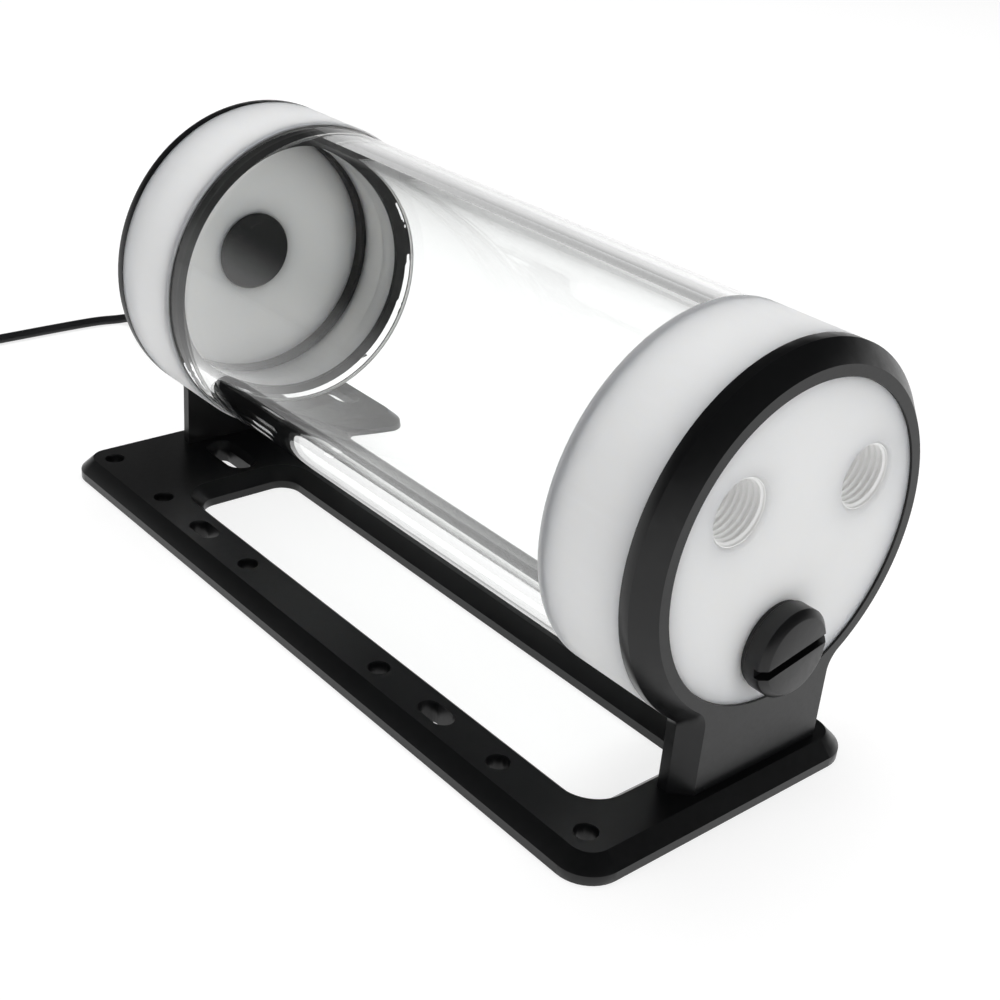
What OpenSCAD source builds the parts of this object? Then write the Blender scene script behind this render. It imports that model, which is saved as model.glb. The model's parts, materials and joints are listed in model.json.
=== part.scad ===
// Coolant reservoir: a glass tube clamped between two bevelled uprights on a slotted base plate.
// The tube lies along X with its middle at X = 0. The ports face +X and the lamp lead leaves at -X.
// Z = 0 is the underside of the base plate and Y = 0 is the plane of the tube's axis.

/* [Tube] */
// Outer diameter of the glass tube
tube_d = 75; // [66:1:84]
// Wall thickness of the glass tube
tube_wall = 5; // [3.5:0.5:6]
// Length of the glass tube
tube_len = 130.2; // [116:0.2:260]
// Ground edge on the rims of the glass
tube_edge = 0.4; // [0.2:0.1:0.8]
// Height of the tube's axis over the underside of the base plate
axis_h = 53; // [50:0.5:70]

/* [Collars] */
// How far the collars and uprights stand out past the glass
shell_over = 0.75; // [0.65:0.05:2]
// Length of a collar from its rim to the upright
collar_len = 21; // [17:0.5:34]
// Depth that the glass enters the collar
tube_seat = 0.6; // [0.3:0.1:2]
// Radial clearance between the glass and its seat
seat_gap = 0.1; // [0.05:0.05:0.2]
// Length of the inner lip behind the gasket
lip_len = 5.3; // [3:0.1:8]
// Chamfer on the outer edge of the collar's rim
rim_edge = 0.4; // [0.2:0.1:0.5]

/* [Seals] */
// Thickness of the gasket between glass and collar
gasket_t = 1.2; // [0.8:0.1:2.5]
// How far the gasket reaches in past the bore of the glass
gasket_in = 2.1; // [0.5:0.1:3]
// Thickness of the seal between collar and end plate
plate_seal_t = 2.8; // [1.5:0.1:4]
// How far the plate seal reaches in past the bore of the glass
plate_seal_in = 1.1; // [0.5:0.1:2]

/* [End plates] */
// Thickness of the flange that the upright holds back
flange_t = 1; // [0.8:0.1:2]
// How far the flange reaches out past the upright's bore
flange_over = 2.8; // [1.5:0.1:3]
// Clearance round the flange, the seal and the end plate
plate_gap = 0.1; // [0.05:0.05:0.2]
// Depth of the outer face below the face of the upright
face_recess = 0.4; // [0:0.1:1]

/* [Uprights] */
// Thickness of an upright
upright_t = 6; // [5:0.5:10]
// Width of the ring's band, measured along a radius
ring_band = 6.05; // [5:0.05:8]
// Width of the leg
leg_w = 42; // [30:1:52]
// Bevel round the outer face
upright_bevel = 3.7; // [1:0.1:4.5]
// Radius of the hollow corner between ring and leg
leg_fillet = 2; // [1:0.5:4]

/* [Base plate] */
// Thickness of the base plate
plate_t = 5; // [4:0.5:8]
// Bevel round the top edges of the base plate
plate_bevel = 3; // [1:0.5:3.5]
// How far the base plate runs past the uprights
plate_over = 4.75; // [4:0.25:12]
// Distance from the tube's axis to the outer edge of the mounting bar
bar_reach = 48.7; // [46:0.1:62]
// Width of the mounting bar
bar_w = 15.5; // [13:0.5:18]
// Width of the spine under the tube
spine_w = 12.8; // [10:0.2:20]
// Width of the crosspiece at the port end
front_cross_w = 15.75; // [14.5:0.25:24]
// Width of the crosspiece at the lamp end
rear_cross_w = 35.05; // [33:0.05:45]
// Distance from the tube's axis to the end of the front crosspiece
front_cross_reach = 25; // [23:0.5:34]
// Distance from the tube's axis to the end of the rear crosspiece
rear_cross_reach = 33; // [31:0.5:42]
// Radius of the plate's outer corners
plate_corner = 7.5; // [5:0.5:7.5]
// Radius of the corners of the cut-outs
window_corner = 5; // [3:0.5:6]

/* [Mounting holes] */
// Diameter of the mounting holes and width of the mounting slots
mount_hole_d = 4.8; // [3.2:0.1:5.4]
// Distance of the outer holes from the ends of the plate
end_hole_inset = 8.75; // [8:0.25:12]
// Spacing of the second pair of holes
hole_pair_2 = 126; // [110:1:130]
// Spacing of the third pair of holes
hole_pair_3 = 50; // [30:1:60]
// Spacing of the pair of slots
slot_pair = 88; // [80:1:96]
// Length of a mounting slot from end to end
mount_slot_len = 9.2; // [7:0.2:12]
// Length of a tie slot from end to end
tie_slot_len = 14; // [10:0.5:16]
// Width of a tie slot
tie_slot_w = 4.8; // [3:0.2:6]
// Chamfer round the top of a tie slot
tie_slot_edge = 1.6; // [0.4:0.2:2]
// Distance of the inner tie slot from the plate's end and from the tube's axis
tie_slot_inner = [21.45, -14.9];
// Distance of the outer tie slot from the plate's end and from the tube's axis
tie_slot_outer = [14, 23];

/* [Screws] */
// Diameter of the screws that hold the uprights
screw_d = 3; // [2.5:0.5:3]
// Diameter of their countersunk heads
screw_head_d = 5.8; // [5:0.2:6.4]
// Distance of each screw from the plane of the axis
screw_y = 12; // [8:0.5:14]
// Length of screw inside the leg
screw_grip = 9; // [6:0.5:12]

/* [Ports] */
// Radius of the circle that the ports lie on
port_circle_r = 20; // [19.5:0.1:21]
// Angle of the first port above the horizontal
port_turn = 26.5; // [0:0.5:60]
// Diameter of the port thread
port_d = 13.16; // [11:0.02:14]
// Diameter of the mouth of a port
port_mouth_d = 14.4; // [14.2:0.1:16]

/* [Port plug] */
// Diameter of the plug's head
plug_head_d = 18.2; // [17:0.1:21]
// Thickness of the plug's head
plug_head_t = 5; // [4:0.1:8]
// Chamfer round the face of the head
plug_chamfer = 1.3; // [0.5:0.1:2]
// Length of the plug's thread
plug_thread_len = 6; // [4:0.1:6.5]
// Radial clearance of the plug's thread
thread_gap = 0.08; // [0.03:0.01:0.1]
// Thickness of the seal under the head
plug_seal_t = 0.8; // [0.6:0.1:1.5]
// Width of the driver slot
driver_slot_w = 2; // [1:0.1:3]
// Depth of the driver slot
driver_slot_depth = 2.4; // [1:0.1:3]
// Direction of the driver slot above the horizontal
driver_slot_turn = 10.8; // [0:0.1:90]

/* [Lamp] */
// Diameter of the lamp's lens
lens_d = 19.5; // [17:0.5:24]
// Thickness of the lens
lens_t = 1.2; // [0.8:0.1:2]
// How far the lens stands out of the end plate
lens_proud = 0.3; // [0.1:0.1:0.6]
// Thickness of the lamp's flange
lamp_flange_t = 1.5; // [1:0.1:2]
// Thickness of the lamp's seal
lamp_seal_t = 0.8; // [0.5:0.1:1]
// Diameter of the lamp's threaded stem
stem_d = 13; // [11:0.5:14]
// Length of stem behind the end plate
stem_out = 7; // [6:0.5:12]
// Width of the lamp's nut across its flats
nut_w = 19; // [17:0.5:22]
// Thickness of the lamp's nut
nut_t = 4; // [3:0.5:5.5]
// Diameter of the diode
diode_d = 5; // [3:0.5:6]
// Length of the diode
diode_len = 7; // [5:0.5:8]

/* [Lead] */
// Diameter of the lead
lead_d = 2.8; // [2:0.1:3.5]
// Length of the strain relief behind the stem
gland_len = 8; // [5:0.5:12]
// Diameter of the strain relief at the stem
gland_d = 6; // [5:0.1:8]
// Width of the connector
plug_w = 6; // [5:0.2:8]
// Height of the connector
plug_h = 4.6; // [4:0.1:6]
// Length of the connector
plug_len = 14; // [10:0.5:20]

/* [Hidden] */
tube_r = tube_d / 2;
bore_r = tube_r - tube_wall;
shell_r = tube_r + shell_over;
ring_bore_r = shell_r - ring_band;

// Stations along X, from the middle of the tube to either end.
tube_end = tube_len / 2;
gasket_end = tube_end + gasket_t;
rim_x = tube_end - tube_seat;
ring_in = rim_x + collar_len;
ring_out = ring_in + upright_t;
floor_x = ring_in - flange_t;
seal_in = floor_x - plate_seal_t;
face_x = ring_out - face_recess;
lip_end = gasket_end + lip_len;

gasket_r = bore_r - gasket_in;
plate_seal_r = bore_r - plate_seal_in;
flange_r = ring_bore_r + flange_over;
end_plate_r = ring_bore_r - plate_gap;
seat_r = tube_r + seat_gap;

// Outline of the base plate.
plate_end = ring_out + plate_over;
spine_half = spine_w / 2;
window_x = [-plate_end + rear_cross_w, plate_end - front_cross_w];
window_y = [-bar_reach + bar_w, -spine_half];
edge_t = plate_t - plate_bevel;
bar_y = -bar_reach + bar_w / 2;
cut_margin = 1;

leg_half = leg_w / 2;
fillet_z = axis_h - sqrt(pow(shell_r + leg_fillet, 2) - pow(leg_half + leg_fillet, 2));
fillet_reach = shell_r + leg_fillet - ring_bore_r;
leg_x = (ring_in + ring_out) / 2;
screw_r = screw_d / 2;
screw_fit = 0.05;
screw_recess = 0.2;
screw_socket_d = 2.3;
screw_socket_depth = 1.2;

port_r = port_d / 2;
port_mouth_r = port_mouth_d / 2;
port_turns = [port_turn, port_turn + 120, port_turn + 240];
plugged_turn = port_turns[2];
plug_y = port_circle_r * cos(plugged_turn);
plug_z = axis_h + port_circle_r * sin(plugged_turn);
touch_gap = 0.05;
head_back = face_x + plug_seal_t + 2 * touch_gap;
plug_seal_r = [port_mouth_r + 0.2, plug_head_d / 2 - 0.4];

lens_r = lens_d / 2;
lens_face = floor_x - lens_proud;
lamp_flange_x = lens_face + lens_t;
lamp_seal_x = lamp_flange_x + lamp_flange_t;
lamp_seat_x = lamp_seal_x + lamp_seal_t;
stem_r = stem_d / 2;
stem_fit = 0.08;
stem_end = face_x + stem_out;
diode_r = diode_d / 2;
diode_gap = 0.05;
gland_r = gland_d / 2;
gland_tip_r = lead_d / 2 + 0.8;
gland_in = 2;
gland_end = stem_end + gland_len;

// Route of the lead from the strain relief to the coil, which lies on the ground.
lead_r = lead_d / 2;
lead_route = [
    [-gland_end, 0, axis_h], [-116, 0, 52.6], [-128, 1, 48], [-140, 3, 38], [-152, 7, 25],
    [-163, 11, 13], [-173, 13, 4.6], [-180, 10, lead_r], [-181.6, 2, lead_r],
    [-182, -10, lead_r], [-182, -24, lead_r], [-182, -38, lead_r], [-182, -53, lead_r]
];
tail_route = [[-207, -78, lead_r], [-214, -78, lead_r], [-220, -78, lead_r], [-226, -78, lead_r]];
route_steps = 3;
lead_sides = 8;
coil_at = [-198, -62];
coil_mid_r = 16;
coil_half_w = lead_d;
coil_h = 2 * lead_d;
tie_w = 3;
tie_wall = 0.8;
tie_turn = 60;
connector_at = tail_route[len(tail_route) - 1];
contact_pitch = 2.54;
contact_w = 0.9;
contact_inset = 1.5;
smooth = 96;

// ---- Shapes that repeat ----

// Turns a profile of [distance along X, radius] points round the tube's axis.
module turned(profile) {
    translate([0, 0, axis_h]) rotate([0, 90, 0]) rotate([0, 0, 180])
        rotate_extrude($fn = smooth)
            polygon([for (p = profile) [p[1], p[0]]]);
}

// A round bar along X, from x0 to x1, with its centre at [y, z].
module bar_x(x0, x1, r0, r1, y, z) {
    translate([x0, y, z]) rotate([0, 90, 0])
        cylinder(h = x1 - x0, r1 = r0, r2 = r1, $fn = smooth);
}

// A plain ring along X round the tube's axis.
module ring_x(x0, x1, r_in, r_out) {
    turned([[x0, r_in], [x1, r_in], [x1, r_out], [x0, r_out]]);
}

// Places a piece that is made for the port end at the lamp end.
module at_rear() {
    mirror([1, 0, 0]) children();
}

// A rounded rectangle whose outline grows or shrinks by `grow` at 45 degrees between z0 and z1.
module sloped_block(xr, yr, corner, grow, z0, z1) {
    cx = [xr[0] + corner, xr[1] - corner];
    cy = [yr[0] + corner, yr[1] - corner];
    for (x = cx, y = cy)
        translate([x, y, z0])
            cylinder(h = z1 - z0, r1 = corner, r2 = corner + grow, $fn = smooth);
    translate([cx[0], 0, 0]) rotate([90, 0, 90])
        linear_extrude(cx[1] - cx[0])
            polygon([[yr[0], z0], [yr[1], z0], [yr[1] + grow, z1], [yr[0] - grow, z1]]);
    translate([0, cy[1], 0]) rotate([90, 0, 0])
        linear_extrude(cy[1] - cy[0])
            polygon([[xr[0], z0], [xr[1], z0], [xr[1] + grow, z1], [xr[0] - grow, z1]]);
}

// One limb of the base plate: a square edge below and a bevel above.
module plate_limb(xr, yr) {
    sloped_block(xr, yr, plate_corner, 0, 0, edge_t);
    sloped_block(xr, yr, plate_corner, -plate_bevel, edge_t, plate_t);
}

// A bevelled cut-out through the base plate.
module plate_cut(xr, yr) {
    over = plate_bevel + cut_margin;
    sloped_block(xr, yr, window_corner, 0, -cut_margin, edge_t);
    sloped_block(xr, yr, window_corner, over, edge_t, edge_t + over);
}

// A slot with round ends, along X, through the base plate.
module slot_cut(x, y, length, width) {
    half = (length - width) / 2;
    for (s = [-1, 1])
        translate([x + s * half, y, -cut_margin])
            cylinder(h = plate_t + 2 * cut_margin, d = width, $fn = smooth);
    translate([x - half, y - width / 2, -cut_margin])
        cube([2 * half, width, plate_t + 2 * cut_margin]);
}

// A tie slot: a slot whose top edge has a chamfer.
module tie_slot_cut(x, y) {
    half_l = tie_slot_len / 2;
    half_w = tie_slot_w / 2;
    over = tie_slot_edge + cut_margin;
    slot_cut(x, y, tie_slot_len, tie_slot_w);
    for (s = [-1, 1])
        translate([x + s * (half_l - half_w), y, plate_t - tie_slot_edge])
            cylinder(h = over, r1 = half_w, r2 = half_w + over, $fn = smooth);
    translate([x - half_l + half_w, y, plate_t - tie_slot_edge]) rotate([90, 0, 90])
        linear_extrude(tie_slot_len - tie_slot_w)
            polygon([[-half_w, 0], [half_w, 0], [half_w + over, over], [-half_w - over, over]]);
}

// ---- Frame ----

module base_plate() {
    color([0.1, 0.1, 0.11])
    difference() {
        union() {
            plate_limb([-plate_end, plate_end], [-bar_reach, spine_half + plate_corner]);
            plate_limb([plate_end - front_cross_w, plate_end], [-leg_half, front_cross_reach]);
            plate_limb([-plate_end, -plate_end + rear_cross_w], [-leg_half, rear_cross_reach]);
        }
        plate_cut(window_x, window_y);
        plate_cut(window_x, [spine_half, rear_cross_reach + 2 * window_corner]);
        for (x = [plate_end - end_hole_inset, hole_pair_2 / 2, hole_pair_3 / 2], s = [-1, 1])
            translate([s * x, bar_y, -cut_margin])
                cylinder(h = plate_t + 2 * cut_margin, d = mount_hole_d, $fn = smooth);
        for (s = [-1, 1])
            slot_cut(s * slot_pair / 2, bar_y, mount_slot_len, mount_hole_d);
        tie_slot_cut(-plate_end + tie_slot_inner[0], tie_slot_inner[1]);
        tie_slot_cut(-plate_end + tie_slot_outer[0], tie_slot_outer[1]);
        for (x = [-leg_x, leg_x], y = [-screw_y, screw_y])
            screw_hole(x, y);
    }
}

// The countersunk hole for a screw, from the underside of the plate.
module screw_hole(x, y) {
    sink = (screw_head_d - screw_d) / 2;
    translate([x, y, -cut_margin])
        cylinder(h = plate_t + 2 * cut_margin, r = screw_r + screw_fit, $fn = smooth);
    translate([x, y, screw_recess])
        cylinder(h = sink, r1 = screw_head_d / 2 + screw_fit, r2 = screw_r + screw_fit, $fn = smooth);
    translate([x, y, -cut_margin])
        cylinder(h = cut_margin + screw_recess, d = screw_head_d + 2 * screw_fit, $fn = smooth);
}

// The leg: an upright block whose two outer corners carry the bevel.
module leg() {
    top = axis_h - sqrt(pow(ring_bore_r, 2) - pow(leg_half, 2));
    flat_half = leg_half - upright_bevel;
    translate([0, 0, plate_t])
        linear_extrude(top - plate_t)
            polygon([[ring_in, -leg_half], [ring_out - upright_bevel, -leg_half],
                     [ring_out, -flat_half], [ring_out, flat_half],
                     [ring_out - upright_bevel, leg_half], [ring_in, leg_half]]);
}

// The hollow corner between the leg and the ring, with the same bevel as both.
module leg_corner() {
    away = (leg_half + leg_fillet) / (shell_r + leg_fillet);
    up = (axis_h - fillet_z) / (shell_r + leg_fillet);
    reach = fillet_reach - 0.1;
    bevel_x = ring_out - upright_bevel;
    difference() {
        translate([ring_in, leg_half + leg_fillet, fillet_z]) rotate([90, 0, 90])
            linear_extrude(upright_t)
                polygon([[0, 0], [-away * reach, up * reach], [-reach, 0]]);
        bar_x(ring_in - cut_margin, bevel_x, leg_fillet, leg_fillet, leg_half + leg_fillet, fillet_z);
        bar_x(bevel_x, ring_out + cut_margin, leg_fillet, leg_fillet + upright_bevel + cut_margin,
              leg_half + leg_fillet, fillet_z);
    }
}

module upright() {
    difference() {
        union() {
            turned([[ring_in, ring_bore_r - 2], [ring_out, ring_bore_r - 2],
                    [ring_out, shell_r - upright_bevel],
                    [ring_out - upright_bevel, shell_r], [ring_in, shell_r]]);
            leg();
            leg_corner();
            mirror([0, 1, 0]) leg_corner();
        }
        bar_x(ring_in - cut_margin, ring_out + cut_margin, ring_bore_r, ring_bore_r, 0, axis_h);
        for (y = [-screw_y, screw_y])
            translate([leg_x, y, 0])
                cylinder(h = plate_t + screw_grip + 1, r = screw_r + screw_fit, $fn = smooth);
    }
}

module front_upright() {
    color([0.1, 0.1, 0.11]) upright();
}

module rear_upright() {
    color([0.1, 0.1, 0.11]) at_rear() upright();
}

// A pair of countersunk screws, driven up through the base plate into the leg.
module upright_screws() {
    sink = (screw_head_d - screw_d) / 2;
    for (y = [-screw_y, screw_y])
        translate([leg_x, y, 0])
            difference() {
                union() {
                    translate([0, 0, screw_recess])
                        cylinder(h = sink, d1 = screw_head_d, d2 = screw_d, $fn = smooth);
                    translate([0, 0, screw_recess + sink - 0.01])
                        cylinder(h = plate_t + screw_grip - screw_recess - sink, r = screw_r, $fn = smooth);
                }
                translate([0, 0, screw_recess - 0.01])
                    cylinder(h = screw_socket_depth, d = screw_socket_d, $fn = 6);
            }
}

module front_upright_screws() {
    color([0.15, 0.15, 0.16]) upright_screws();
}

module rear_upright_screws() {
    color([0.15, 0.15, 0.16]) at_rear() upright_screws();
}

// ---- Vessel ----

module glass_tube() {
    color([0.85, 0.9, 0.92, 0.35])
    turned([[-tube_end, bore_r + tube_edge], [-tube_end + tube_edge, bore_r],
            [tube_end - tube_edge, bore_r], [tube_end, bore_r + tube_edge],
            [tube_end, tube_r - tube_edge], [tube_end - tube_edge, tube_r],
            [-tube_end + tube_edge, tube_r], [-tube_end, tube_r - tube_edge]]);
}

// The flat gasket that the end of the glass presses on.
module tube_gasket() {
    ring_x(tube_end, gasket_end, gasket_r, tube_r);
}

module front_tube_gasket() {
    color([0.12, 0.12, 0.12]) tube_gasket();
}

module rear_tube_gasket() {
    color([0.12, 0.12, 0.12]) at_rear() tube_gasket();
}

// The collar: a seat for the glass, a lip behind the gasket and a pocket for the plate seal.
module collar() {
    turned([[rim_x, seat_r], [gasket_end, seat_r],
            [gasket_end, gasket_r], [lip_end, gasket_r],
            [lip_end, bore_r], [seal_in, bore_r],
            [seal_in, flange_r + plate_gap], [ring_in, flange_r + plate_gap],
            [ring_in, shell_r], [rim_x + rim_edge, shell_r], [rim_x, shell_r - rim_edge]]);
}

module front_collar() {
    color([0.92, 0.92, 0.9]) collar();
}

module rear_collar() {
    color([0.92, 0.92, 0.9]) at_rear() collar();
}

// The thick seal between the collar and the flange of the end plate.
module plate_seal() {
    ring_x(seal_in, floor_x, plate_seal_r, flange_r);
}

module front_plate_seal() {
    color([0.12, 0.12, 0.12]) plate_seal();
}

module rear_plate_seal() {
    color([0.12, 0.12, 0.12]) at_rear() plate_seal();
}

// The blank end plate: a disc in the upright's bore with a flange behind it.
module end_plate_blank() {
    turned([[floor_x, 0], [floor_x, flange_r], [ring_in, flange_r],
            [ring_in, end_plate_r], [face_x, end_plate_r], [face_x, 0]]);
}

module front_end_plate() {
    mouth = port_mouth_r - port_r;
    color([0.92, 0.92, 0.9])
    difference() {
        end_plate_blank();
        for (a = port_turns) {
            y = port_circle_r * cos(a);
            z = axis_h + port_circle_r * sin(a);
            bar_x(floor_x - cut_margin, face_x + cut_margin, port_r, port_r, y, z);
            bar_x(face_x - mouth, face_x + cut_margin, port_r, port_mouth_r + cut_margin, y, z);
        }
    }
}

module rear_end_plate() {
    color([0.92, 0.92, 0.9])
    at_rear() difference() {
        end_plate_blank();
        bar_x(floor_x - cut_margin, face_x + cut_margin, stem_r + stem_fit, stem_r + stem_fit, 0, axis_h);
        bar_x(floor_x - cut_margin, lamp_seat_x, lens_r + plate_gap, lens_r + plate_gap, 0, axis_h);
    }
}

// ---- Port plug ----

module port_plug() {
    color([0.09, 0.09, 0.1])
    translate([0, plug_y, plug_z])
    difference() {
        rotate([0, 90, 0]) rotate([0, 0, 180]) rotate_extrude($fn = smooth)
            polygon([[0, head_back - plug_thread_len], [port_r - thread_gap - 0.5, head_back - plug_thread_len],
                     [port_r - thread_gap, head_back - plug_thread_len + 0.5],
                     [port_r - thread_gap, head_back], [plug_head_d / 2, head_back],
                     [plug_head_d / 2, head_back + plug_head_t - plug_chamfer],
                     [plug_head_d / 2 - plug_chamfer, head_back + plug_head_t],
                     [0, head_back + plug_head_t]]);
        rotate([driver_slot_turn, 0, 0])
            translate([head_back + plug_head_t - driver_slot_depth, -plug_head_d, -driver_slot_w / 2])
                cube([driver_slot_depth + cut_margin, 2 * plug_head_d, driver_slot_w]);
    }
}

// The flat seal that travels with the plug, between its head and the end plate.
module port_plug_seal() {
    color([0.14, 0.14, 0.14])
    translate([face_x + touch_gap, plug_y, plug_z]) rotate([0, 90, 0])
        difference() {
            cylinder(h = plug_seal_t, r = plug_seal_r[1], $fn = smooth);
            translate([0, 0, -cut_margin])
                cylinder(h = plug_seal_t + 2 * cut_margin, r = plug_seal_r[0], $fn = smooth);
        }
}

// ---- Lamp ----

module lamp_body() {
    color([0.08, 0.08, 0.08])
    at_rear() difference() {
        turned([[lamp_flange_x, 0], [lamp_flange_x, lens_r], [lamp_seal_x, lens_r],
                [lamp_seal_x, stem_r], [stem_end, stem_r], [stem_end, 0]]);
        bar_x(lamp_flange_x - cut_margin, lamp_flange_x + diode_len,
              diode_r + diode_gap, diode_r + diode_gap, 0, axis_h);
        bar_x(stem_end - gland_in, stem_end + cut_margin,
              gland_tip_r + diode_gap, gland_tip_r + diode_gap, 0, axis_h);
    }
}

module lamp_lens() {
    color([0.1, 0.1, 0.1])
    at_rear() turned([[lens_face, 0], [lens_face, lens_r - 0.3], [lens_face + 0.3, lens_r],
                      [lamp_flange_x, lens_r], [lamp_flange_x, 0]]);
}

// The diode: a domed body that points at the lens.
module lamp_diode() {
    color([0.9, 0.9, 0.86])
    at_rear() {
        bar_x(lamp_flange_x + diode_r + 0.2, lamp_flange_x + diode_len, diode_r, diode_r, 0, axis_h);
        translate([lamp_flange_x + diode_r + 0.2, 0, axis_h]) sphere(r = diode_r, $fn = smooth);
    }
}

module lamp_seal() {
    color([0.14, 0.14, 0.14])
    at_rear() ring_x(lamp_seal_x, lamp_seat_x, stem_r + stem_fit, lens_r);
}

module lamp_nut() {
    color([0.1, 0.1, 0.1])
    at_rear() translate([face_x, 0, axis_h]) rotate([0, 90, 0])
        difference() {
            cylinder(h = nut_t, r = nut_w / sqrt(3), $fn = 6);
            translate([0, 0, -cut_margin])
                cylinder(h = nut_t + 2 * cut_margin, r = stem_r + stem_fit, $fn = smooth);
        }
}

// ---- Lead ----

// The strain relief: a spigot in the stem, a collar behind it and a taper down to the lead.
module lead_strain_relief() {
    color([0.1, 0.1, 0.1])
    at_rear() turned([[stem_end - gland_in, 0], [stem_end - gland_in, gland_tip_r],
                      [stem_end, gland_tip_r], [stem_end, gland_r], [stem_end + 2, gland_r],
                      [gland_end, gland_tip_r], [gland_end, 0]]);
}

function unit(v) = v / norm(v);

// A point on the smooth curve through route points i and i + 1, at t from 0 to 1.
function curve_point(p, i, t) =
    let (a = p[max(i - 1, 0)], b = p[i], c = p[i + 1], d = p[min(i + 2, len(p) - 1)],
         m = (c - a) / 2, n = (d - b) / 2)
    (2 * t * t * t - 3 * t * t + 1) * b + (t * t * t - 2 * t * t + t) * m
    + (3 * t * t - 2 * t * t * t) * c + (t * t * t - t * t) * n;

// All the points of the smooth curve, with the last route point at its end.
function curve(p) = concat(
    [for (i = [0 : len(p) - 2], k = [0 : route_steps - 1]) curve_point(p, i, k / route_steps)],
    [p[len(p) - 1]]);

function headings(c) =
    [for (i = [0 : len(c) - 1]) unit(c[min(i + 1, len(c) - 1)] - c[max(i - 1, 0)])];

// Carries a side direction along the headings without twist.
function sides(t, s, i = 0) =
    i == len(t) ? [] : let (u = unit(s - (s * t[i]) * t[i])) concat([u], sides(t, u, i + 1));

// Sweeps a round section of radius r along a route.
module swept(route, r, side) {
    c = curve(route);
    t = headings(c);
    s = sides(t, side);
    n = lead_sides;
    last = len(c) - 1;
    points = [for (i = [0 : last], k = [0 : n - 1])
        c[i] + r * (cos(360 * k / n) * s[i] + sin(360 * k / n) * cross(t[i], s[i]))];
    walls = [for (i = [0 : last - 1], k = [0 : n - 1])
        [i * n + k, (i + 1) * n + k, (i + 1) * n + (k + 1) % n, i * n + (k + 1) % n]];
    polyhedron(points, concat([[for (k = [0 : n - 1]) k]], walls,
                              [[for (k = [n - 1 : -1 : 0]) last * n + k]]));
}

module lamp_lead() {
    color([0.06, 0.06, 0.06]) swept(lead_route, lead_r, [0, 1, 0]);
}

module lead_tail() {
    color([0.06, 0.06, 0.06]) swept(tail_route, lead_r, [0, 1, 0]);
}

// The outer shape of the coil: two turns wide and two turns high.
module coil_shape(grow) {
    translate([coil_at[0], coil_at[1], 0])
        rotate_extrude($fn = smooth)
            translate([coil_mid_r - coil_half_w - grow, max(-grow, 0)])
                square([2 * (coil_half_w + grow), coil_h + grow]);
}

module lead_coil() {
    color([0.06, 0.06, 0.06]) coil_shape(0);
}

// The tie: a strap round one side of the coil, open where the coil lies on the ground.
module lead_tie() {
    color([0.16, 0.16, 0.16])
    difference() {
        translate([coil_at[0], coil_at[1], 0]) rotate([0, 0, tie_turn])
            translate([coil_mid_r - coil_half_w - tie_wall, -tie_w / 2, 0])
                cube([2 * (coil_half_w + tie_wall), tie_w, coil_h + tie_wall]);
        coil_shape(0.02);
    }
}

module lead_connector() {
    color([0.1, 0.1, 0.1])
    difference() {
        translate([connector_at[0] - plug_len, connector_at[1] - plug_w / 2, 0])
            cube([plug_len, plug_w, plug_h]);
        for (s = [-1, 1])
            translate([connector_at[0] - plug_len - cut_margin,
                       connector_at[1] + s * contact_pitch / 2 - contact_w / 2,
                       (plug_h - contact_w) / 2])
                cube([plug_len - contact_inset + cut_margin, contact_w, contact_w]);
    }
}

// The two contacts, set back in the connector.
module connector_contacts() {
    color([0.85, 0.7, 0.3])
    for (s = [-1, 1])
        translate([connector_at[0] - plug_len + contact_inset,
                   connector_at[1] + s * contact_pitch / 2 - contact_w / 2,
                   (plug_h - contact_w) / 2])
            cube([plug_len - 2 * contact_inset, contact_w, contact_w]);
}

base_plate();
front_upright();
rear_upright();
front_upright_screws();
rear_upright_screws();
glass_tube();
front_tube_gasket();
rear_tube_gasket();
front_collar();
rear_collar();
front_plate_seal();
rear_plate_seal();
front_end_plate();
rear_end_plate();
port_plug();
port_plug_seal();
lamp_body();
lamp_lens();
lamp_diode();
lamp_seal();
lamp_nut();
lead_strain_relief();
lamp_lead();
lead_coil();
lead_tie();
lead_tail();
lead_connector();
connector_contacts();
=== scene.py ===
import json
import math

import bmesh
import bpy
from mathutils import Matrix, Vector, noise


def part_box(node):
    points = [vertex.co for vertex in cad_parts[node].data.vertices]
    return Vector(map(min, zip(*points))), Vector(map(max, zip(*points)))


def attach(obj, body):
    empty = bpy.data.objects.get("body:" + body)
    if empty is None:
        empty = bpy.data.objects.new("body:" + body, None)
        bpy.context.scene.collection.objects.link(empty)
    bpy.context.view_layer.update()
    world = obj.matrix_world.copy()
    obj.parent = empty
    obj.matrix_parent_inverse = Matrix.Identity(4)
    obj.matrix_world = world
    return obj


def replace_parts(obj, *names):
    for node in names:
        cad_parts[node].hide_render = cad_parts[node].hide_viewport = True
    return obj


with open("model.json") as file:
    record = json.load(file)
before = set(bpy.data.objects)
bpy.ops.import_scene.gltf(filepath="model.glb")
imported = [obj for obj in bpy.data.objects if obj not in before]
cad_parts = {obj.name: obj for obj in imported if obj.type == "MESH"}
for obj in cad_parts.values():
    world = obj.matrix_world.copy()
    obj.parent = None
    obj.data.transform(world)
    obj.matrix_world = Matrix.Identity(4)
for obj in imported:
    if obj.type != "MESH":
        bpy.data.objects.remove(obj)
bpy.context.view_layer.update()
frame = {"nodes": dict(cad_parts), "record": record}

MM = 0.001
MICRON = 0.001 * MM
AXIS_H = 53.0  # height of the tube's axis, in millimetres, as every length here that doesn't say otherwise
nodes = frame["nodes"]
record = frame["record"]
mounts = {m["name"]: m for m in record["mounts"]}


def mm(x, y, z):
    """A point given in millimetres, in metres."""
    return Vector((x, y, z)) * MM


# ---- Camera ----

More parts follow.
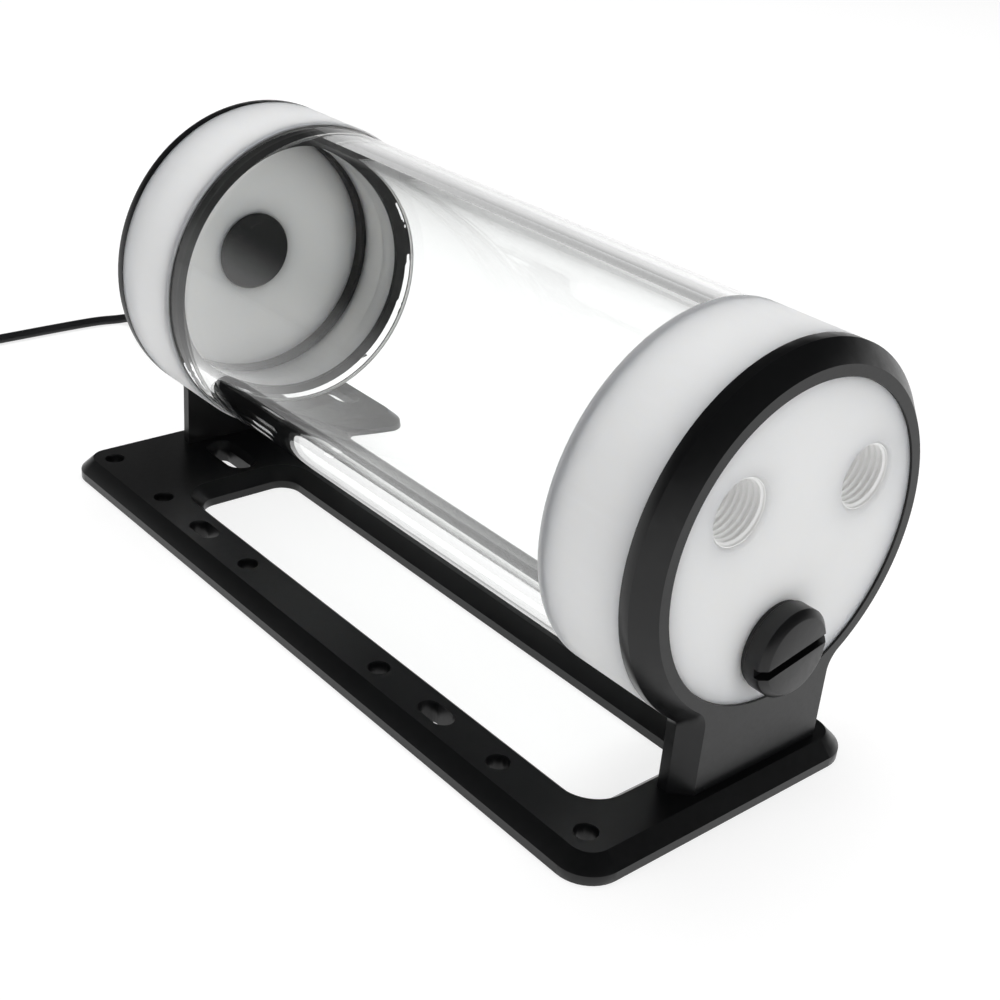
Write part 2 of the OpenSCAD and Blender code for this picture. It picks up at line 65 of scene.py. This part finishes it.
# The photo's camera, as fitted to the circles and edges of the object: its place, its turn and its lens.
CAMERA_AT = (236.59, -205.34, 183.77)
YAW, PITCH, ROLL = (math.radians(a) for a in (47.538, -27.305, 5.174))
LENS, SENSOR = 56.19, 36.0
CLIP_NEAR, CLIP_FAR = 0.01, 50.0  # metres


def make_camera():
    """Looks along YAW and PITCH, rolled by ROLL about the line of sight."""
    ahead = Vector((-math.sin(YAW) * math.cos(PITCH), math.cos(YAW) * math.cos(PITCH),
                    math.sin(PITCH)))
    level = Vector((math.cos(YAW), math.sin(YAW), 0.0))
    up = level.cross(ahead)
    right = level * math.cos(ROLL) + up * math.sin(ROLL)
    top = up * math.cos(ROLL) - level * math.sin(ROLL)
    data = bpy.data.cameras.new("camera")
    data.lens, data.sensor_width = LENS, SENSOR
    data.clip_start, data.clip_end = CLIP_NEAR, CLIP_FAR
    camera = bpy.data.objects.new("camera", data)
    turn = Matrix((right, top, -ahead)).transposed().to_4x4()
    camera.matrix_world = Matrix.Translation(mm(*CAMERA_AT)) @ turn
    bpy.context.scene.collection.objects.link(camera)
    bpy.context.scene.camera = camera


make_camera()


# ---- Meshes ----

TOO_STEEP = 1e-3  # a heading with less of a level part than this keeps the side of the step before
LATHE_STEPS, LATHE_SHARP = 96, 30
def new_piece(name, verts, faces, body="reservoir", smooth=True):
    """A mesh object that rides on a body, with its normals facing out."""
    mesh = bpy.data.meshes.new(name)
    mesh.from_pydata([tuple(v) for v in verts], [], faces)
    work = bmesh.new()
    work.from_mesh(mesh)
    bmesh.ops.recalc_face_normals(work, faces=work.faces)
    work.to_mesh(mesh)
    work.free()
    for face in mesh.polygons:
        face.use_smooth = smooth
    piece = bpy.data.objects.new(name, mesh)
    bpy.context.scene.collection.objects.link(piece)
    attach(piece, body)
    return piece


def sharp_at(piece, degrees):
    """Keeps edges sharper than this angle crisp in a smooth-shaded piece."""
    work = bmesh.new()
    work.from_mesh(piece.data)
    for edge in work.edges:
        edge.smooth = edge.calc_face_angle(0.0) < math.radians(degrees)
    work.to_mesh(piece.data)
    work.free()


def swept(name, path, section, tilt):
    """Sweeps a closed section of (side, up) points along a path, rolled by tilt about it."""
    verts, faces = [], []
    count, last = len(section), len(path) - 1
    side = None
    for i, point in enumerate(path):
        heading = (path[min(i + 1, last)] - path[max(i - 1, 0)]).normalized()
        level = Vector((0, 0, 1)).cross(heading)
        side = level.normalized() if level.length > TOO_STEEP else side
        up = heading.cross(side)
        across = side * math.cos(tilt) + up * math.sin(tilt)
        rise = up * math.cos(tilt) - side * math.sin(tilt)
        verts += [point + across * a + rise * b for a, b in section]
    for i in range(last):
        for k in range(count):
            n = (k + 1) % count
            faces.append((i * count + k, (i + 1) * count + k, (i + 1) * count + n, i * count + n))
    faces.append(tuple(range(count)))
    faces.append(tuple(last * count + k for k in reversed(range(count))))
    return new_piece(name, verts, faces)


def on_circle(x, centre, r, k, steps):
    """Point k of a circle of so many steps, with its axis along X and its centre at this (y, z)."""
    a = 2 * math.pi * k / steps
    return mm(x, centre[0] + r * math.cos(a), centre[1] + r * math.sin(a))


def lathe(name, profile, centre, body="reservoir", steps=LATHE_STEPS):
    """Turns a closed profile of (x, radius) points about an axis along X."""
    verts, faces, rings = [], [], []
    for x, r in profile:
        ring = []
        for k in range(1 if r == 0 else steps):
            ring.append(len(verts))
            verts.append(on_circle(x, centre, r, k, steps))
        rings.append(ring)
    for a, b in zip(rings, rings[1:] + rings[:1]):
        for k in range(steps):
            n = (k + 1) % steps
            corners = [a[k % len(a)], a[n % len(a)], b[n % len(b)], b[k % len(b)]]
            corners = list(dict.fromkeys(corners))
            if len(corners) > 2:
                faces.append(corners)
    piece = new_piece(name, verts, faces, body)
    sharp_at(piece, LATHE_SHARP)
    return piece


def sleeve_faces(rows, steps):
    """Faces of a shaped wall of rows + 1 rings, and of the plain wall of two rings that closes it behind."""
    near, far = (rows + 1) * steps, (rows + 2) * steps
    faces = []
    for k in range(steps):
        n = (k + 1) % steps
        for j in range(rows):
            faces.append((j * steps + k, j * steps + n, (j + 1) * steps + n, (j + 1) * steps + k))
        faces.append((k, near + k, near + n, n))
        faces.append((near + k, far + k, far + n, near + n))
        faces.append((far + k, rows * steps + k, rows * steps + n, far + n))
    return faces


# ---- Lead ----

LEAD_D = 2.8
LEAD_R = LEAD_D / 2
LOBE_R, LOBE_STEPS = 0.92, 10  # radius of each of the two wires with its jacket
LEAD_TILT = math.radians(-38)
# From the strain relief down to the ground and round to the coil, as in the CAD.
ROUTE = [(-106.1, 0, 53), (-116, 0, 52.6), (-128, 1, 48), (-140, 3, 38), (-152, 7, 25),
         (-163, 11, 13), (-173, 13, 4.6), (-180, 10, LEAD_R), (-181.6, 2, LEAD_R),
         (-182, -10, LEAD_R), (-182, -24, LEAD_R), (-182, -38, LEAD_R), (-182, -53, LEAD_R)]
COIL_AT, COIL_MID_R = (-198, -62), 16
COIL_TURNS, TURN_STEPS = 4, 36
LEAVES_AFTER = 0.25  # share of a turn from the end of the last full turn to the tail
HALF_STEP = 0.12  # half the share of a turn that the lead takes to move in or up by one place
# From the top of the coil down to the connector.
TAIL = [(-205, -79.3, 3.9), (-212, -78.7, 2.4), (-219, -78.1, LEAD_R + 0.1), (-226, -78, LEAD_R)]
CURVE_STEPS = 6


def curve_through(points):
    """A smooth curve through all the points, which is how the CAD runs the lead along its route."""
    out = []
    last = len(points) - 1
    for i in range(last):
        a, b = points[max(i - 1, 0)], points[i]
        c, d = points[i + 1], points[min(i + 2, last)]
        m, n = (c - a) / 2, (d - b) / 2
        for k in range(CURVE_STEPS):
            t = k / CURVE_STEPS
            out.append((2 * t ** 3 - 3 * t ** 2 + 1) * b + (t ** 3 - 2 * t ** 2 + t) * m
                       + (3 * t ** 2 - 2 * t ** 3) * c + (t ** 3 - t ** 2) * n)
    return out + [points[last]]


def ease(t):
    """0 up to t = 0, 1 from t = 1, and a smooth step between them."""
    t = min(max(t, 0.0), 1.0)
    return t * t * (3 - 2 * t)


def coil_points():
    """Four turns: outer and inner on the ground, then inner and outer on top of them."""
    out = []
    for k in range(int((COIL_TURNS + LEAVES_AFTER) * TURN_STEPS) + 1):
        turn = k / TURN_STEPS
        first, second, third = (ease((turn - n + HALF_STEP) / (2 * HALF_STEP)) for n in (1, 2, 3))
        inward, lift = first - third, second
        r = COIL_MID_R + LEAD_R * (1 - 2 * inward)
        a = -2 * math.pi * turn
        out.append(mm(COIL_AT[0] + r * math.cos(a), COIL_AT[1] + r * math.sin(a),
                      LEAD_R + LEAD_D * lift))
    return out


def lead_path():
    """The lead's centre line from the strain relief to the connector."""
    run = curve_through([mm(*p) for p in ROUTE])
    coil = coil_points()
    tail = curve_through([coil[-1]] + [mm(*p) for p in TAIL])
    return run + coil + tail[1:]


def twin_section():
    """Two wires side by side in one jacket, with a groove between them on both sides."""
    reach = LEAD_D / 2 - LOBE_R
    meet = math.acos(min(reach / LOBE_R, 1.0))
    out = []
    for s in (1, -1):
        start = -(math.pi - meet) if s > 0 else meet
        for k in range(LOBE_STEPS + 1):
            a = start + (2 * math.pi - 2 * meet) * k / LOBE_STEPS
            if 0 < k < LOBE_STEPS or s > 0:
                out.append((s * reach + LOBE_R * math.cos(a), LOBE_R * math.sin(a)))
    return [(a * MM, b * MM) for a, b in out]


path = lead_path()
lead = swept("lead", path, twin_section(), tilt=LEAD_TILT)
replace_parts(lead, "lamp_lead", "lead_coil", "lead_tail")


# ---- Materials ----

NOISE_LOW, NOISE_HIGH = 0.3, 0.7  # most of what a noise node gives lies between these
GRAIN_ROUGH, TURNED_ROUGH = 0.5, 0.65  # how much the finer parts of a grain's noise count


class Paint:
    """A material with a Principled shader, and short calls for its nodes."""

    def __init__(self, name, **sockets):
        self.mat = bpy.data.materials.new(name)
        self.mat.use_nodes = True
        self.tree = self.mat.node_tree
        self.shader = self.tree.nodes["Principled BSDF"]
        self.place = self.node("ShaderNodeTexCoord").outputs["Object"]
        for key, value in sockets.items():
            self.shader.inputs[key.replace("_", " ")].default_value = value

    def node(self, kind, **fields):
        made = self.tree.nodes.new(kind)
        for key, value in fields.items():
            setattr(made, key, value)
        return made

    def link(self, a, b):
        self.tree.links.new(a, b)

    def noise(self, scale, detail, place=None, rough=0.5):
        """Noise, with its scale in cells per metre."""
        made = self.node("ShaderNodeTexNoise")
        made.inputs["Scale"].default_value = scale
        made.inputs["Detail"].default_value = detail
        made.inputs["Roughness"].default_value = rough
        self.link(place or self.place, made.inputs["Vector"])
        return made.outputs["Fac"]

    def spread(self, value, low, high):
        """Maps a noise's usual range onto low to high."""
        made = self.node("ShaderNodeMapRange")
        made.inputs["From Min"].default_value = NOISE_LOW
        made.inputs["From Max"].default_value = NOISE_HIGH
        made.inputs["To Min"].default_value = low
        made.inputs["To Max"].default_value = high
        self.link(value, made.inputs["Value"])
        return made.outputs["Result"]

    def colour(self, value, dark, light):
        """A base colour that goes from dark to light with a noise."""
        made = self.node("ShaderNodeMix", data_type="RGBA")
        made.inputs["A"].default_value = (*dark, 1)
        made.inputs["B"].default_value = (*light, 1)
        self.link(self.spread(value, 0.0, 1.0), made.inputs["Factor"])
        self.link(made.outputs["Result"], self.shader.inputs["Base Color"])

    def roughness(self, value, low, high):
        self.link(self.spread(value, low, high), self.shader.inputs["Roughness"])

    def math(self, how, a, b):
        """A maths node on two values, each a number or another node's output."""
        made = self.node("ShaderNodeMath", operation=how)
        for socket, value in zip(made.inputs, (a, b)):
            if isinstance(value, (int, float)):
                socket.default_value = value
            else:
                self.link(value, socket)
        return made.outputs["Value"]

    def bump(self, value, depth):
        """Makes the surface look raised by value times depth, in metres."""
        made = self.node("ShaderNodeBump")
        made.inputs["Distance"].default_value = depth
        self.link(value, made.inputs["Height"])
        self.link(made.outputs["Normal"], self.shader.inputs["Normal"])

    def turned_place(self):
        """A coordinate that changes along the tube's axis and away from it, for a lathe's fine rings."""
        parts = self.node("ShaderNodeSeparateXYZ")
        self.link(self.place, parts.inputs["Vector"])
        side, up = parts.outputs["Y"], self.math("SUBTRACT", parts.outputs["Z"], AXIS_H * MM)
        squares = self.math("ADD", self.math("MULTIPLY", side, side), self.math("MULTIPLY", up, up))
        far = self.math("SQRT", squares, 0.0)
        joined = self.node("ShaderNodeCombineXYZ")
        self.link(self.math("ADD", parts.outputs["X"], far), joined.inputs["X"])
        return joined.outputs["Vector"]


def finish(name, dark, light, roughness, cloud, wear, grain, depth, cloud_detail=3, wear_detail=3,
           grain_detail=3, turned=False, **sockets):
    """A surface whose colour, roughness and fine relief each follow a noise of their own.

    Cloud, wear and grain are the noises' scales in cells per metre. The relief is depth microns deep.
    A turned surface has its grain in rings round the tube's axis.
    """
    paint = Paint(name, **sockets)
    place, rough = (paint.turned_place(), TURNED_ROUGH) if turned else (None, GRAIN_ROUGH)
    paint.colour(paint.noise(cloud, cloud_detail), dark, light)
    paint.roughness(paint.noise(wear, wear_detail), *roughness)
    paint.bump(paint.noise(grain, grain_detail, place, rough), depth * MICRON)
    return paint.mat


def glass(name, dark, light, cloud, shade, **sockets):
    """Clear glass. The lamps' rays go straight through it and are only dimmed by its shade."""
    paint = Paint(name, Transmission_Weight=1.0, Roughness=0.0, **sockets)
    paint.colour(paint.noise(cloud, 1), dark, light)
    clear = paint.node("ShaderNodeBsdfTransparent")
    clear.inputs["Color"].default_value = (*shade, 1)
    ray = paint.node("ShaderNodeLightPath")
    mix = paint.node("ShaderNodeMixShader")
    paint.link(ray.outputs["Is Shadow Ray"], mix.inputs["Fac"])
    paint.link(paint.shader.outputs["BSDF"], mix.inputs[1])
    paint.link(clear.outputs["BSDF"], mix.inputs[2])
    paint.link(mix.outputs["Shader"], paint.tree.nodes["Material Output"].inputs["Surface"])
    return paint.mat


finishes = {
    "anodised_black": finish(
        "anodised_black_finish", dark=(0.0036, 0.0037, 0.004), light=(0.0056, 0.0058, 0.0062),
        roughness=(0.28, 0.36), cloud=35, wear=900, wear_detail=4, grain=5200, grain_detail=2,
        depth=6, Specular_IOR_Level=0.4),
    "black_steel": finish(
        "black_steel_finish", dark=(0.035, 0.035, 0.037), light=(0.06, 0.06, 0.063),
        roughness=(0.36, 0.5), cloud=300, wear=1200, grain=3000, grain_detail=2, depth=3, Metallic=1.0),
    "clear_glass": glass(
        "clear_glass_finish", dark=(0.99, 0.998, 0.994), light=(0.996, 1.0, 0.998), cloud=9,
        shade=(0.97, 0.98, 0.975), IOR=1.473),
    "seal_rubber": finish(
        "seal_rubber_finish", dark=(0.018, 0.018, 0.018), light=(0.028, 0.028, 0.028),
        roughness=(0.55, 0.72), cloud=60, wear=500, grain=1800, depth=10, Specular_IOR_Level=0.4),
    "white_acetal": finish(
        "white_acetal_finish", dark=(0.865, 0.868, 0.862), light=(0.895, 0.897, 0.892),
        roughness=(0.46, 0.56), cloud=28, wear=420, grain=2600, depth=3, turned=True, IOR=1.48,
        Subsurface_Weight=1.0, Subsurface_Scale=0.012, Subsurface_Radius=(1.0, 0.97, 0.92),
        Specular_IOR_Level=0.42),
    # Inside a port. Its slight glow is painted light: an emission that stands in for the light the milky
    # plastic carries to it from outside.
    "port_wall": finish(
        "port_wall_painted_glow_finish", dark=(0.87, 0.87, 0.865), light=(0.9, 0.9, 0.895), roughness=(0.5, 0.6),
        cloud=300, cloud_detail=2, wear=420, grain=2600, depth=3, IOR=1.48, Specular_IOR_Level=0.3,
        Emission_Color=(1.0, 1.0, 0.98, 1), Emission_Strength=0.06),
    "black_acetal": finish(
        "black_acetal_finish", dark=(0.0045, 0.0045, 0.005), light=(0.0075, 0.0075, 0.008),
        roughness=(0.3, 0.38), cloud=40, wear=700, grain=2400, grain_detail=2, depth=4,
        Specular_IOR_Level=0.4),
    "smoked_lens": finish(
        "smoked_lens_finish", dark=(0.009, 0.0095, 0.0095), light=(0.014, 0.0145, 0.0145),
        roughness=(0.4, 0.52), cloud=120, cloud_detail=2, wear=300, grain=1500, grain_detail=2,
        depth=3, Specular_IOR_Level=0.2),
    "diode_resin": finish(
        "diode_resin_finish", dark=(0.8, 0.8, 0.74), light=(0.88, 0.88, 0.83), roughness=(0.12, 0.2),
        cloud=40, wear=700, grain=2400, grain_detail=2, depth=4, Specular_IOR_Level=0.4),
    "cable_rubber": finish(
        "cable_rubber_finish", dark=(0.009, 0.009, 0.01), light=(0.015, 0.015, 0.016),
        roughness=(0.36, 0.5), cloud=60, wear=500, grain=900, depth=12, Specular_IOR_Level=0.4),
    "contact_brass": finish(
        "contact_brass_finish", dark=(0.72, 0.55, 0.22), light=(0.84, 0.66, 0.3),
        roughness=(0.22, 0.36), cloud=300, wear=1200, grain=3000, grain_detail=2, depth=3, Metallic=1.0),
}


def paint_piece(piece, name):
    """Gives a piece of this script one of the finishes."""
    piece.data.materials.clear()
    piece.data.materials.append(finishes[name])


for part in record["subparts"]:
    node = nodes[part["node"]]
    for slot in node.material_slots:
        slot.material = finishes[part["material_slot"]]
paint_piece(lead, "cable_rubber")


EDGE_ANGLE = math.radians(32)  # edges flatter than this belong to a curve and stay as they are
EDGE_SEGMENTS, WELD_WITHIN = 2, 0.002


def soften(name, width):
    """Breaks the edges of one of the CAD's pieces, as deburring or a mould does."""
    node = nodes[name]
    weld = node.modifiers.new("weld", "WELD")
    weld.merge_threshold = WELD_WITHIN * MM
    edge = node.modifiers.new("edge", "BEVEL")
    edge.width, edge.segments = width * MM, EDGE_SEGMENTS
    edge.limit_method, edge.angle_limit = "ANGLE", EDGE_ANGLE
    edge.harden_normals = True


MILLED_EDGE, TURNED_EDGE, SMALL_EDGE = 0.18, 0.25, 0.12
for name in ("base_plate", "front_upright", "rear_upright"):
    soften(name, MILLED_EDGE)
for name in ("front_collar", "rear_collar"):
    soften(name, TURNED_EDGE)
for name in ("front_end_plate", "lamp_nut", "lead_connector", "lead_tie"):
    soften(name, SMALL_EDGE)


# ---- Gaskets ----

TUBE_END, GASKET_T, GASKET_IN, GASKET_OUT = 65.1, 1.2, 30.4, 37.5
GASKET_STEPS, GASKET_ROWS = 240, 9
WET_IN, AIR_GAP = 0.03, 0.05  # how far a wet patch stands into the glass, and a dry one off it
WET_AT = math.radians(110)  # where round the ring the pressure is highest, so that most of it is wet
WET_LEAN, WET_BASE = 0.55, 0.22  # how much the pressure changes round the ring, and its middle value
PATCH_CELLS, PATCH_BANDS, PATCH_SHARE = 3.2, 0.35, 0.5
SPECK_CELLS, SPECK_BANDS, SPECK_SHARE = 30, 1.6, 0.06


def ring_noise(angle, r, cells, bands):
    """Noise on a ring, with about so many cells per radian and bands per millimetre of radius."""
    return noise.noise(Vector((cells * math.cos(angle), cells * math.sin(angle), r * bands)))


def gasket_face(angle, r):
    """How far the gasket stands into the glass: above 0 it wets the glass, below 0 it leaves air."""
    patch = ring_noise(angle, r, PATCH_CELLS, PATCH_BANDS)
    speck = ring_noise(angle, r, SPECK_CELLS, SPECK_BANDS)
    wet = math.cos(angle - WET_AT) * WET_LEAN + WET_BASE + PATCH_SHARE * patch + SPECK_SHARE * speck
    return WET_IN if wet > 0 else -AIR_GAP


def gasket(name, end):
    """A flat ring between the glass and the collar's lip, pressed on the glass in patches."""
    steps, rows, centre = GASKET_STEPS, GASKET_ROWS, (0, AXIS_H)
    verts = []
    for j in range(rows + 1):
        r = GASKET_IN + (GASKET_OUT - GASKET_IN) * j / rows
        for k in range(steps):
            angle = 2 * math.pi * k / steps
            x = TUBE_END - (gasket_face(angle, r) if 0 < j < rows else -AIR_GAP)
            verts.append(on_circle(end * x, centre, r, k, steps))
    for r in (GASKET_IN, GASKET_OUT):
        verts += [on_circle(end * (TUBE_END + GASKET_T), centre, r, k, steps) for k in range(steps)]
    piece = new_piece(name, verts, sleeve_faces(rows, steps), smooth=False)
    paint_piece(piece, "seal_rubber")
    return piece


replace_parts(gasket("front_gasket", 1), "front_tube_gasket")
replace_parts(gasket("rear_gasket", -1), "rear_tube_gasket")


# ---- Ports ----

PITCH = 1.337
INNER_FLAT, OUTER_FLAT = 0.2, 0.25  # shares of the half pitch at the thread's inner and outer radius
THREAD_STEPS, ROWS_PER_PITCH, THREAD_SHARP = 72, 14, 35
THREAD_FADE = 0.6  # length over which the thread runs out at each end
PORT_R, ROOT_R, CREST_R, MOUTH_X = 6.58, 6.45, 6.0, 90.4
BOSS_R, BOSS_END, BOSS_EDGE, FLOOR_X = 8.8, 76.5, 0.6, 84.5
HAIR = 0.01  # keeps two faces from lying in one plane


def thread_height(turn):
    """How far out a thread stands at this share of its pitch: 0 at its inner radius, 1 at its outer one."""
    t = abs((turn % 1.0) - 0.5) * 2
    slope = (t - OUTER_FLAT) / (1 - OUTER_FLAT - INNER_FLAT)
    return 1 - min(max(slope, 0.0), 1.0)


def threaded(name, x0, x1, centre, inner, outer, wall_r, body="reservoir"):
    """A right-hand thread along X from radius inner to outer, closed by a plain wall at wall_r.

    At both ends the thread runs out towards the plain wall.
    """
    steps, rows = THREAD_STEPS, int((x1 - x0) / PITCH * ROWS_PER_PITCH)
    run_out = 1.0 if wall_r > outer else 0.0
    verts = []
    for j in range(rows + 1):
        x = x0 + (x1 - x0) * j / rows
        edge = min((x - x0) / THREAD_FADE, (x1 - x) / THREAD_FADE, 1.0)
        for k in range(steps):
            height = thread_height(x / PITCH - k / steps) * edge + (1 - edge) * run_out
            verts.append(on_circle(x, centre, inner + (outer - inner) * height, k, steps))
    for x in (x0, x1):
        verts += [on_circle(x, centre, wall_r, k, steps) for k in range(steps)]
    piece = new_piece(name, verts, sleeve_faces(rows, steps), body)
    sharp_at(piece, THREAD_SHARP)
    return piece


for name in ("upper_port", "side_port"):
    centre = [v / MM for v in mounts[name]["pos_m"][1:]]
    thread = threaded(name + "_thread", BOSS_END, MOUTH_X, centre, CREST_R, ROOT_R, PORT_R - HAIR)
    paint_piece(thread, "port_wall")
    boss = lathe(name + "_boss", [(BOSS_END, PORT_R), (BOSS_END, BOSS_R - BOSS_EDGE),
                                  (BOSS_END + BOSS_EDGE, BOSS_R), (FLOOR_X - HAIR, BOSS_R),
                                  (FLOOR_X - HAIR, PORT_R)], centre)
    paint_piece(boss, "white_acetal")


# ---- Port plug ----

HEAD_R, HEAD_X0, HEAD_X1, HEAD_EDGE = 9.1, 92.0, 97.0, 1.3
HEAD_SOFT, HEAD_STEPS, HEAD_SHARP = 0.25, 128, 25
SLOT_W, SLOT_DEEP, SLOT_TURN = 2.0, 2.4, math.radians(10.8)
SHANK_X0, SHANK_R, SHANK_ROOT_R, SHANK_CORE_R = 86.0, 6.5, 5.8, 0.5


def make_plug():
    """The plug: a bevelled head with a driver slot, and a threaded shank behind it."""
    low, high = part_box("port_plug")
    y, z = (low.y + high.y) / 2 / MM, (low.z + high.z) / 2 / MM
    soft = HEAD_SOFT
    bevel_x, bevel_r = HEAD_X1 - HEAD_EDGE, HEAD_R - HEAD_EDGE
    head = lathe("plug_head", [(HEAD_X0, 0), (HEAD_X0, HEAD_R - soft), (HEAD_X0 + soft, HEAD_R),
                               (bevel_x - soft / 2, HEAD_R), (bevel_x + soft / 2, HEAD_R - soft / 2),
                               (HEAD_X1 - soft / 3, bevel_r + soft / 3), (HEAD_X1, bevel_r - soft / 2),
                               (HEAD_X1, 0)], (y, z), body="plug", steps=HEAD_STEPS)
    cut = bpy.data.meshes.new("slot_cutter")
    work = bmesh.new()
    bmesh.ops.create_cube(work, size=1.0)
    bmesh.ops.scale(work, vec=mm(2 * SLOT_DEEP, 4 * HEAD_R, SLOT_W), verts=work.verts)
    bmesh.ops.rotate(work, matrix=Matrix.Rotation(SLOT_TURN, 3, "X"), verts=work.verts)
    bmesh.ops.translate(work, vec=mm(HEAD_X1, y, z), verts=work.verts)
    work.to_mesh(cut)
    work.free()
    cutter = bpy.data.objects.new("slot_cutter", cut)
    bpy.context.scene.collection.objects.link(cutter)
    carve = head.modifiers.new("slot", "BOOLEAN")
    carve.operation, carve.object, carve.solver = "DIFFERENCE", cutter, "EXACT"
    shown = head.evaluated_get(bpy.context.evaluated_depsgraph_get())
    carved = bpy.data.meshes.new_from_object(shown)
    head.modifiers.clear()
    head.data = carved
    bpy.data.objects.remove(cutter)
    sharp_at(head, HEAD_SHARP)
    shank = threaded("plug_thread", SHANK_X0, HEAD_X0 - HAIR, (y, z), SHANK_ROOT_R, SHANK_R,
                     SHANK_CORE_R, body="plug")
    for piece in (head, shank):
        paint_piece(piece, "black_acetal")
    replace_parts(head, "port_plug")


make_plug()


# ---- Stage ----

# Lengths in metres from here on.
FLOOR_HALF, FLOOR_Z = 3.0, -0.0001
FLOOR_WHITE = (0.85, 0.85, 0.85, 1)  # what the floor throws back at the object
FLOOR_SHADED = (0.3, 0.3, 0.3, 1)  # the part of what is seen of it that takes the shadow
FLOOR_GLOW, FLOOR_GLOW_IN_GLASS = 0.78, 0.98  # the part that is even
HORIZON_Z, DIM_FROM_Z, DIM = 0.05, 0.42, 0.03  # heights of a unit direction, and the sky's strength


def make_floor():
    """A white floor. What the camera, gloss and glass see of it is part glow and part shaded."""
    half, z = FLOOR_HALF, FLOOR_Z
    mesh = bpy.data.meshes.new("floor")
    mesh.from_pydata([(-half, -half, z), (half, -half, z), (half, half, z), (-half, half, z)],
                     [], [(0, 1, 2, 3)])
    floor = bpy.data.objects.new("floor", mesh)
    bpy.context.scene.collection.objects.link(floor)
    mat = bpy.data.materials.new("floor_white")
    mat.use_nodes = True
    tree = mat.node_tree
    tree.nodes.clear()
    add = tree.nodes.new
    ray, out = add("ShaderNodeLightPath"), add("ShaderNodeOutputMaterial")
    plain, shaded = add("ShaderNodeBsdfDiffuse"), add("ShaderNodeBsdfDiffuse")
    glow = add("ShaderNodeEmission")
    both, pick = add("ShaderNodeAddShader"), add("ShaderNodeMixShader")
    plain.inputs["Color"].default_value = FLOOR_WHITE
    shaded.inputs["Color"].default_value = FLOOR_SHADED
    first, second = add("ShaderNodeMath"), add("ShaderNodeMath")
    first.operation = second.operation = "MAXIMUM"
    tree.links.new(ray.outputs["Is Camera Ray"], first.inputs[0])
    tree.links.new(ray.outputs["Is Glossy Ray"], first.inputs[1])
    tree.links.new(first.outputs[0], second.inputs[0])
    tree.links.new(ray.outputs["Is Transmission Ray"], second.inputs[1])
    tree.links.new(shaded.outputs[0], both.inputs[0])
    tree.links.new(glow.outputs[0], both.inputs[1])
    tree.links.new(second.outputs[0], pick.inputs["Fac"])
    tree.links.new(plain.outputs[0], pick.inputs[1])
    tree.links.new(both.outputs[0], pick.inputs[2])
    lift = add("ShaderNodeMapRange")
    lift.inputs["To Min"].default_value = FLOOR_GLOW
    lift.inputs["To Max"].default_value = FLOOR_GLOW_IN_GLASS
    tree.links.new(ray.outputs["Is Transmission Ray"], lift.inputs["Value"])
    tree.links.new(lift.outputs["Result"], glow.inputs["Strength"])
    tree.links.new(pick.outputs[0], out.inputs["Surface"])
    mesh.materials.append(mat)


def make_world():
    """White to the camera. For light and gloss it is white round the horizon and dim above."""
    world = bpy.data.worlds.new("studio")
    bpy.context.scene.world = world
    world.use_nodes = True
    tree = world.node_tree
    tree.nodes.clear()
    add = tree.nodes.new
    place, parts = add("ShaderNodeTexCoord"), add("ShaderNodeSeparateXYZ")
    ramp, ray, pick = add("ShaderNodeMapRange"), add("ShaderNodeLightPath"), add("ShaderNodeMix")
    back, out = add("ShaderNodeBackground"), add("ShaderNodeOutputWorld")
    ramp.interpolation_type = "SMOOTHSTEP"
    ramp.inputs["From Min"].default_value = HORIZON_Z
    ramp.inputs["From Max"].default_value = DIM_FROM_Z
    ramp.inputs["To Min"].default_value = 1.0
    ramp.inputs["To Max"].default_value = DIM
    pick.data_type = "FLOAT"
    pick.inputs["B"].default_value = 1.0
    tree.links.new(place.outputs["Generated"], parts.inputs[0])
    tree.links.new(parts.outputs["Z"], ramp.inputs["Value"])
    tree.links.new(ray.outputs["Is Camera Ray"], pick.inputs["Factor"])
    tree.links.new(ramp.outputs[0], pick.inputs["A"])
    tree.links.new(pick.outputs["Result"], back.inputs["Strength"])
    tree.links.new(back.outputs[0], out.inputs[0])


def make_lamp(name, at, aim, size, power):
    """A soft round lamp that gloss and glass don't show."""
    data = bpy.data.lights.new(name, "AREA")
    data.shape, data.size, data.energy = "DISK", size, power
    lamp = bpy.data.objects.new(name, data)
    lamp.visible_glossy = False
    lamp.visible_transmission = False
    lamp.location = at
    lamp.rotation_mode = "QUATERNION"
    lamp.rotation_quaternion = (Vector(aim) - Vector(at)).to_track_quat("-Z", "Y")
    bpy.context.scene.collection.objects.link(lamp)


make_floor()
make_world()
make_lamp("top_light", at=(-0.3, 0.3, 1.3), aim=(0, 0, 0.05), size=1.2, power=15.0)
make_lamp("end_light", at=(1.3, 0.1, 0.5), aim=(0.09, 0, 0.05), size=1.0, power=8.0)
make_lamp("side_light", at=(-0.3, -1.3, 0.45), aim=(0, 0, 0.05), size=1.0, power=6.0)
bpy.context.scene.view_settings.view_transform = "Standard"
